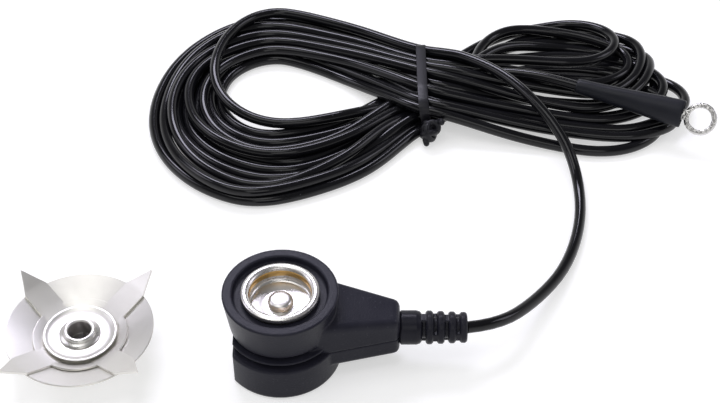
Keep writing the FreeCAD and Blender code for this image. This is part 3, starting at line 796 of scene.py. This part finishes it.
def socketPieces():
    at = (connector["drumX"], 0)
    cup = turned("socket_cup_shell", [
        (0.92, 12.15), (5.7, 12.15), (6.0, 12.4), (6.0, 14.85), (6.35, 14.85), (6.52, 15.0),
        (6.55, 15.25), (6.42, 15.52), (6.15, 15.67), (5.85, 15.7), (5.5, 15.63), (5.27, 15.42),
        (5.22, 15.15), (5.25, 14.96), (5.55, 14.95), (5.55, 14.06), (5.42, 14.04), (5.38, 13.3),
        (5.3, 12.95), (5.05, 12.7), (4.7, 12.62), (3.3, 12.6), (3.1, 12.53), (2.6, 12.53), (2.3, 12.6),
        (0.92, 12.6),
    ], at, closed=True)
    spring = turned("spring_ring_split", [
        (5.5, 14.12), (5.5, 14.88), (5.42, 14.92), (5.28, 14.9), (5.2, 14.8), (5.16, 14.3), (5.18, 13.85),
        (5.24, 13.72), (5.33, 13.74), (5.36, 14.04), (5.42, 14.08),
    ], at, closed=True)
    deselectAll()
    gapAt = ((at[0] - socket["boreR"]) * mm, 0, socket["ringZ"] * mm)
    bpy.ops.mesh.primitive_cube_add(size=socket["split"] * mm, location=gapAt)
    cutBy(spring, bpy.context.object)
    spring = settleMesh(spring, "spring_ring_split")
    rivet = turned("centre_rivet_dome", [
        (0.05, 11.25), (1.4, 11.25), (1.5, 11.35), (1.5, 11.6), (0.9, 11.65), (0.9, 12.6), (2.02, 12.62),
        (2.1, 12.7), (2.12, 12.95), (2.08, 13.25), (1.95, 13.5), (1.72, 13.66), (1.35, 13.75), (0.7, 13.8),
        (0.05, 13.81),
    ], at)
    dress(cup, "nickel", "cord_set", "socket_cup")
    dress(spring, "brass", "cord_set", "spring_ring")
    dress(rivet, "nickel", "cord_set", "centre_rivet")


socketPieces()
print("socket modelled")

# mat stud
stud = {
    "x": -26.375,
    "sheet": 0.45,
    "prongs": 4,
    "plateLow": 4.05,
    # distance from the stud's axis, height of the underside, half width
    "prongLine": [(5.6, 4.1, 2.3), (6.6, 4.34, 2.3), (9.0, 5.24, 2.28), (12.2, 6.46, 2.22),
                  (13.0, 6.86, 1.75), (14.6, 7.62, 0.85), (16.1, 8.36, 0.04)],
    "prongEdge": 0.06,
}


def drawn(name, line, turn):
    # A flat prong: an edge drawn out along stations of (distance, height, half width).
    deselectAll()
    x, z, half = line[0]
    bpy.ops.mesh.primitive_plane_add(size=2 * half * mm, location=(x * mm, 0, z * mm))
    piece = bpy.context.object
    editMode(piece)
    selectWhere(piece, lambda p: p.x > x)
    bpy.ops.mesh.delete(type="VERT")
    bpy.ops.mesh.select_all(action="SELECT")
    bpy.ops.transform.translate(value=(half * mm, 0, 0))
    for (x0, z0, h0), (x1, z1, h1) in zip(line, line[1:]):
        step = ((x1 - x0) * mm, 0, (z1 - z0) * mm)
        bpy.ops.mesh.extrude_edges_move(TRANSFORM_OT_translate={"value": step})
        bpy.ops.transform.resize(value=(1, h1 / h0, 1), center_override=(x1 * mm, 0, z1 * mm))
    bpy.ops.object.mode_set(mode="OBJECT")
    applyPlace(piece)
    piece.rotation_euler = rad(0, 0, turn)
    bpy.ops.object.transform_apply(location=True, rotation=True, scale=True)
    piece.location = (stud["x"] * mm, 0, 0)
    editMode(piece)
    bpy.ops.mesh.select_all(action="SELECT")
    bpy.ops.mesh.normals_make_consistent(inside=False)
    bpy.ops.object.mode_set(mode="OBJECT")
    return settleMesh(piece, name)


def prongPlate():
    low, sheet = stud["plateLow"], stud["sheet"]
    plate = turned("prong_plate_blank", [
        (2.42, low), (6.1, low), (6.4, low + 0.07), (7.85, low + 0.67), (8.0, low + 0.81),
        (8.0, low + 1.03), (7.88, low + 1.15), (7.7, low + 1.1), (6.5, low + sheet + 0.14),
        (6.1, low + sheet), (2.42, low + sheet),
    ], (stud["x"], 0), closed=True, segments=160)
    for i in range(stud["prongs"]):
        prong = drawn("prong", stud["prongLine"], (i + 0.5) * 360 / stud["prongs"])
        up = sum(f.normal.z for f in prong.data.polygons) > 0
        addModifier(prong, "SOLIDIFY", thickness=sheet * mm, offset=1.0 if up else -1.0)
        addModifier(prong, "BEVEL", width=stud["prongEdge"] * mm, segments=2, limit_method="ANGLE",
                    angle_limit=math.radians(50))
        plate = joined(plate, prong)
    return settleMesh(plate, "prong_plate_bent", angle=18)


def studPieces():
    at = (stud["x"], 0)
    disc = turned("backing_disc_dished", [
        (2.42, 3.6), (6.3, 3.6), (7.0, 3.76), (12.36, 5.93), (12.5, 6.06), (12.5, 6.32), (12.4, 6.42),
        (12.22, 6.37), (6.8, 4.27), (6.2, 4.06), (2.42, 4.04),
    ], at, closed=True, segments=160)
    cup = turned("cup_washer_rolled", [
        (2.42, 4.53), (5.3, 4.53), (5.75, 4.72), (6.05, 4.94), (6.2, 5.12), (6.22, 5.24), (6.14, 5.33),
        (5.98, 5.36), (5.8, 5.32), (5.55, 5.2), (5.2, 5.08), (4.7, 5.0), (4.1, 4.98), (2.42, 4.97),
    ], at, closed=True)
    eyelet = turned("eyelet_rolled", [
        (1.9, 3.15), (3.05, 3.15), (3.1, 3.25), (3.05, 3.58), (2.36, 3.6), (2.36, 4.98), (3.44, 4.98),
        (3.5, 5.05), (3.48, 5.2), (3.34, 5.34), (3.1, 5.42), (2.88, 5.53), (2.78, 5.72), (2.72, 5.92),
        (2.55, 6.09), (2.32, 6.15), (2.08, 6.09), (1.95, 5.95), (1.9, 5.75),
    ], at, closed=True)
    dress(disc, "nickel", "mat_stud", "backing_disc", look="satinNickel")
    dress(prongPlate(), "nickel", "mat_stud", "prong_plate", look="satinNickel")
    dress(cup, "nickel", "mat_stud", "cup_washer", look="satinNickel")
    dress(eyelet, "nickel", "mat_stud", "eyelet")


studPieces()
print("mat stud modelled")

# sleeve and ring terminal
terminal = {
    "eyeBeyond": 3.45,
    "eyeR": 3.2,
    "holeR": 2.15,
    "thick": 0.8,
    "drop": 0.9,
    "tongue": 2.1,
    "barrelR": 1.1,
    "barrelIn": 1.5,
    "barrel": 6.0,
    "edge": 0.18,
    "lumps": (0.55, 0.16),    # length and height of the solder's lumps
    "voxel": 0.09,
}


def alongSleeve(piece):
    # Turn a piece built along +X from the origin to the sleeve's roll, heading and mouth.
    piece.rotation_euler = (sleeve["roll"], 0, sleeve["heading"])
    piece.location = tuple(v * mm for v in sleeve["mouth"])
    applyPlace(piece)


def lumpy(piece, size, strength):
    # Push the surface in and out a little with a fixed cloud pattern.
    clouds = bpy.data.textures.new("clouds", "CLOUDS")
    clouds.noise_scale = size * mm
    clouds.noise_depth = 2
    addModifier(piece, "DISPLACE", texture=clouds, strength=strength * mm, mid_level=0.5,
                texture_coords="LOCAL")


def shrunkSleeve():
    # Round at the mouth and flat at the far end: stations of (distance, half width, half height).
    c = sleeve
    wall = c["wall"]
    outer = [(0.0, 1.46, 1.42), (0.15, 1.55, 1.5), (2.0, 1.6, 1.52), (5.0, 1.74, 1.54), (8.5, 1.96, 1.58),
             (12.0, 2.2, 1.62), (14.0, 2.34, 1.65), (16.5, 2.52, 1.68), (19.0, 2.68, 1.7),
             (21.35, 2.78, 1.68), (c["length"], 2.68, 1.6)]
    inner = [(c["length"], 2.74 - wall, 1.66 - wall), (19.0, 2.16, 1.2), (14.0, 1.8, 1.16), (8.0, 1.4, 1.1),
             (0.0, 1.1, 1.08)]
    line = outer + inner + outer[:1]
    deselectAll()
    bpy.ops.mesh.primitive_circle_add(vertices=64, radius=mm, location=(0, 0, 0))
    piece = bpy.context.object
    bpy.ops.object.mode_set(mode="EDIT")
    bpy.ops.mesh.select_all(action="SELECT")
    bpy.ops.transform.resize(value=(line[0][2], line[0][1], 1), center_override=(0, 0, 0))
    for (s0, w0, h0), (s1, w1, h1) in zip(line, line[1:]):
        bpy.ops.mesh.extrude_region_move(TRANSFORM_OT_translate={"value": (0, 0, (s1 - s0) * mm)})
        bpy.ops.transform.resize(value=(h1 / h0, w1 / w0, 1), center_override=(0, 0, s1 * mm))
    bpy.ops.object.mode_set(mode="OBJECT")
    piece.rotation_euler = rad(0, 90, 0)
    settleMesh(piece, "sleeve")
    addModifier(piece, "SUBSURF", levels=1, render_levels=1)
    lumpy(piece, *c["waves"])
    alongSleeve(piece)
    return settleMesh(piece, "heat_shrink_sleeve_skin", angle=50)


def ringTerminal():
    c = terminal
    eyeX = sleeve["length"] + c["eyeBeyond"]
    low, high = -c["drop"], c["thick"] - c["drop"]
    eye = turned("eye", [
        (c["holeR"], low + 0.15), (c["holeR"] + 0.15, low), (c["eyeR"] - 0.25, low),
        (c["eyeR"], low + 0.25), (c["eyeR"], high - 0.25), (c["eyeR"] - 0.25, high),
        (c["holeR"] + 0.15, high), (c["holeR"], high - 0.15),
    ], (eyeX, 0), closed=True, segments=96)
    start = sleeve["length"] - c["barrelIn"] - c["thick"]
    end = eyeX - c["holeR"] - 0.35
    middle = ((start + end) / 2 * mm, 0, (low + high) / 2 * mm)
    tongue = boxInEdit(middle, (end - start, c["tongue"], c["thick"]))
    bevelAll(c["edge"], 3)
    barrel = turned("barrel", [
        (0.6, 0), (c["barrelR"] - 0.1, 0), (c["barrelR"], 0.1), (c["barrelR"], c["barrel"] - 0.1),
        (c["barrelR"] - 0.1, c["barrel"]), (0.6, c["barrel"]),
    ], (0, 0), closed=True, segments=48)
    barrel.rotation_euler = rad(0, 90, 0)
    barrel.location = ((sleeve["length"] - c["barrelIn"] - c["barrel"]) * mm, 0, 0)
    barrel = settleMesh(barrel, "barrel")
    piece = joined(eye, tongue, barrel)
    addModifier(piece, "REMESH", mode="VOXEL", voxel_size=c["voxel"] * mm, use_smooth_shade=True)
    lumpy(piece, *c["lumps"])
    alongSleeve(piece)
    return settleMesh(piece, "ring_terminal_crimped", angle=60, doubles=0.0005)


sleevePiece = dress(shrunkSleeve(), "sleeve", "cord_set", "heat_shrink_sleeve")
terminalPiece = dress(ringTerminal(), "tinned", "cord_set", "ring_terminal")
print("sleeve and terminal modelled")

# tie round the hank
tie = {
    "x": cable["tieX"],
    "reach": 2.6,          # points of the cord this near are inside the band
    "width": 2.0,
    "thick": 0.42,
    "slack": 0.05,
    "edge": 0.12,
    "lean": 1.2,           # the band's foot stands this far beyond its top, along the cord
    "knot": (34.6, 54.6, 2.5),
    "strand": 0.62,
    "lowest": 0.22,        # the band's middle line stays above the surface
    "voxel": 0.12,
}


def outlineRound(points, radius):
    # The shortest band round a set of circles, as (y, z) points in order.
    cloud = []
    for y, z in points:
        for i in range(24):
            a = 2 * math.pi * i / 24
            cloud.append((round(y + radius * math.cos(a), 4),
                          round(max(z + radius * math.sin(a), tie["lowest"]), 4)))
    cloud = sorted(set(cloud))

    def half(ordered):
        chain = []
        for p in ordered:
            while len(chain) > 1 and ((chain[-1][0] - chain[-2][0]) * (p[1] - chain[-2][1])
                                      - (chain[-1][1] - chain[-2][1]) * (p[0] - chain[-2][0])) <= 0:
                chain.pop()
            chain.append(p)
        return chain[:-1]

    return half(cloud) + half(cloud[::-1])


def evenly(loop, count):
    # A closed loop of points, spaced evenly.
    co = np.array(loop + loop[:1])
    s = np.r_[0, np.cumsum(np.linalg.norm(np.diff(co, axis=0), axis=1))]
    u = np.linspace(0, s[-1], count, endpoint=False)
    return [(float(np.interp(v, s, co[:, 0])), float(np.interp(v, s, co[:, 1]))) for v in u]


def tieBand():
    # An edge as wide as the band, drawn round the bundle and closed on itself.
    c = tie
    line = np.array(cordPoints)
    here = line[np.abs(line[:, 0] - c["x"]) < c["reach"]]
    radius = cable["diameter"] / 2 + c["slack"]
    loop = evenly(outlineRound([(y, z) for _, y, z in here], radius), 72)
    deselectAll()
    y, z = loop[0]
    bpy.ops.mesh.primitive_plane_add(size=c["width"] * mm, location=(c["x"] * mm, y * mm, z * mm))
    piece = bpy.context.object
    editMode(piece)
    selectWhere(piece, lambda p: p.y > y)
    bpy.ops.mesh.delete(type="VERT")
    bpy.ops.mesh.select_all(action="SELECT")
    bpy.ops.transform.translate(value=(0, c["width"] / 2 * mm, 0))
    slope = c["lean"] / max(z for y, z in loop)
    for (y0, z0), (y1, z1) in zip(loop, loop[1:] + loop[:1]):
        step = ((z0 - z1) * slope * mm, (y1 - y0) * mm, (z1 - z0) * mm)
        bpy.ops.mesh.extrude_edges_move(TRANSFORM_OT_translate={"value": step})
    piece = settleMesh(piece, "tie", doubles=0.01)
    addModifier(piece, "SOLIDIFY", thickness=c["thick"] * mm, offset=0.0)
    addModifier(piece, "BEVEL", width=c["edge"] * mm, segments=2, limit_method="ANGLE",
                angle_limit=math.radians(50))
    addModifier(piece, "SMOOTH", factor=0.4, iterations=2)
    return settleMesh(piece, "hank_tie_band", angle=40)


def tieKnot():
    # The tie's two ends, wound round each other into a knot with two short tails.
    c = tie
    x, y, z = c["knot"]
    pieces = []
    turns = [(1.35, (90, 0, 20), (0, 0.6, 0)), (1.5, (20, 65, 0), (0.1, -0.3, 0.1)),
             (1.25, (-35, 40, 60), (-0.2, -0.7, -0.2)), (1.1, (60, -30, 10), (0.5, 0.2, 0.7)),
             (1.0, (10, 90, 30), (-0.5, 0.5, 0.4))]
    for major, turn, shift in turns:
        deselectAll()
        place = tuple((a + b) * mm for a, b in zip((x, y, z), shift))
        bpy.ops.mesh.primitive_torus_add(major_radius=major * mm, minor_radius=c["strand"] * mm,
                                         major_segments=40, minor_segments=12, location=place,
                                         rotation=rad(*turn))
        pieces.append(bpy.context.object)

    def bead(place):
        deselectAll()
        bpy.ops.mesh.primitive_uv_sphere_add(segments=12, ring_count=8, radius=c["strand"] * mm,
                                             location=place)
        pieces.append(bpy.context.object)

    for points in ([(0.6, 0.6, 0.8), (1.5, 0.7, 1.6), (2.1, 0.3, 2.3), (2.2, -0.3, 2.5)],
                   [(-0.4, -0.6, -0.4), (-0.9, -1.6, -0.9), (-0.7, -2.3, -1.2)]):
        bead(tuple((a + b) * mm for a, b in zip((x, y, z), points[0])))
        for a, b in zip(points, points[1:]):
            for t in (0.25, 0.5, 0.75, 1.0):
                bead(tuple((o + p + (q - p) * t) * mm for o, p, q in zip((x, y, z), a, b)))
    return softened(joined(*pieces), "tie_knot", c["voxel"], 2)


dress(tieBand(), "tie", "cord_set", "hank_tie")
dress(tieKnot(), "tie", "cord_set", "tie_twist")
print("tie modelled")

# stage
stage = {
    "size": 3,
    "floor": 0.62,
    "floorRough": 0.9,
    "floorSpecular": 0.1,
    "glow": 0.50,            # what eyes and reflections see on top of that, up to plain white
    "sky": 0.42,             # the world's light on everything
    "skyShown": 0.15,        # what a reflection sees straight up; 1 near the horizon
    "horizon": (0.15, 0.55), # upward share of the direction where the sky starts and ends to darken
}
bpy.ops.mesh.primitive_plane_add(size=stage["size"], location=(0, 0, 0))
floor = bpy.context.object
floor.name = "floor"
floorPaint = bpy.data.materials.new("floorPaint")
floorPaint.use_nodes = True
floorTree = floorPaint.node_tree
floorShader = floorTree.nodes["Principled BSDF"]
floorShader.inputs["Base Color"].default_value = (stage["floor"], stage["floor"], stage["floor"], 1)
floorShader.inputs["Roughness"].default_value = stage["floorRough"]
floorShader.inputs["Specular IOR Level"].default_value = stage["floorSpecular"]


def seenRays(tree):
    # 1 for what the camera, a reflection or a clear piece sees, and 0 for the light that falls on things.
    paths = tree.nodes.new("ShaderNodeLightPath")
    both = put(tree, "ShaderNodeMath", operation="MAXIMUM", _0=paths.outputs["Is Camera Ray"],
               _1=paths.outputs["Is Glossy Ray"])
    return put(tree, "ShaderNodeMath", operation="MAXIMUM", _0=both.outputs["Value"],
               _1=paths.outputs["Is Transmission Ray"]).outputs["Value"]


floorGlow = put(floorTree, "ShaderNodeEmission", Color=(1, 1, 1, 1), Strength=stage["glow"])
floorSum = floorTree.nodes.new("ShaderNodeAddShader")
floorTree.links.new(floorShader.outputs["BSDF"], floorSum.inputs[0])
floorTree.links.new(floorGlow.outputs["Emission"], floorSum.inputs[1])
floorMix = floorTree.nodes.new("ShaderNodeMixShader")
floorTree.links.new(seenRays(floorTree), floorMix.inputs["Fac"])
floorTree.links.new(floorShader.outputs["BSDF"], floorMix.inputs[1])
floorTree.links.new(floorSum.outputs["Shader"], floorMix.inputs[2])
floorTree.links.new(floorMix.outputs["Shader"], floorTree.nodes["Material Output"].inputs["Surface"])
floor.data.materials.append(floorPaint)

world = bpy.data.worlds.new("studio")
bpy.context.scene.world = world
world.use_nodes = True
worldTree = world.node_tree
worldNode = worldTree.nodes["Background"]
direction = put(worldTree, "ShaderNodeSeparateXYZ",
                Vector=worldTree.nodes.new("ShaderNodeTexCoord").outputs["Generated"])
shown = put(worldTree, "ShaderNodeMapRange", Value=direction.outputs["Z"],
            From_Min=stage["horizon"][0], From_Max=stage["horizon"][1], To_Min=1.0,
            To_Max=stage["skyShown"])
strength = put(worldTree, "ShaderNodeMapRange", Value=seenRays(worldTree), To_Min=stage["sky"],
               To_Max=shown.outputs["Result"])
worldTree.links.new(strength.outputs["Result"], worldNode.inputs["Strength"])
worldNode.inputs["Color"].default_value = (1, 1, 1, 1)


def softbox(name, place, aim, size, power, colour=(1, 1, 1)):
    light = bpy.data.lights.new(name, "AREA")
    light.shape = "RECTANGLE"
    light.size, light.size_y = size
    light.energy = power
    light.color = colour
    box = bpy.data.objects.new(name, light)
    bpy.context.scene.collection.objects.link(box)
    box.location = place
    box.rotation_euler = (Vector(aim) - Vector(place)).to_track_quat("-Z", "Y").to_euler()


# name, place, what it points at, size, power in watts and colour
softbox("backCard", (-0.07, 0.40, 0.44), (0.03, 0.04, 0), (0.28, 0.14), 1.5, (0.86, 0.84, 1.0))
softbox("leftCard", (-0.42, 0.12, 0.36), (0.0, 0.05, 0), (0.25, 0.2), 0.4, (0.9, 0.88, 1.0))
softbox("rightCard", (0.48, 0.12, 0.36), (0.04, 0.05, 0), (0.25, 0.2), 0.4, (0.9, 0.88, 1.0))
softbox("frontCard", (0.06, -0.46, 0.50), (0.03, 0.0, 0), (0.3, 0.3), 0.42)
softbox("overhead", (-0.11, 0.0, 0.55), (-0.03, 0.0, 0), (0.3, 0.3), 0.56)
print("stage and lights set")
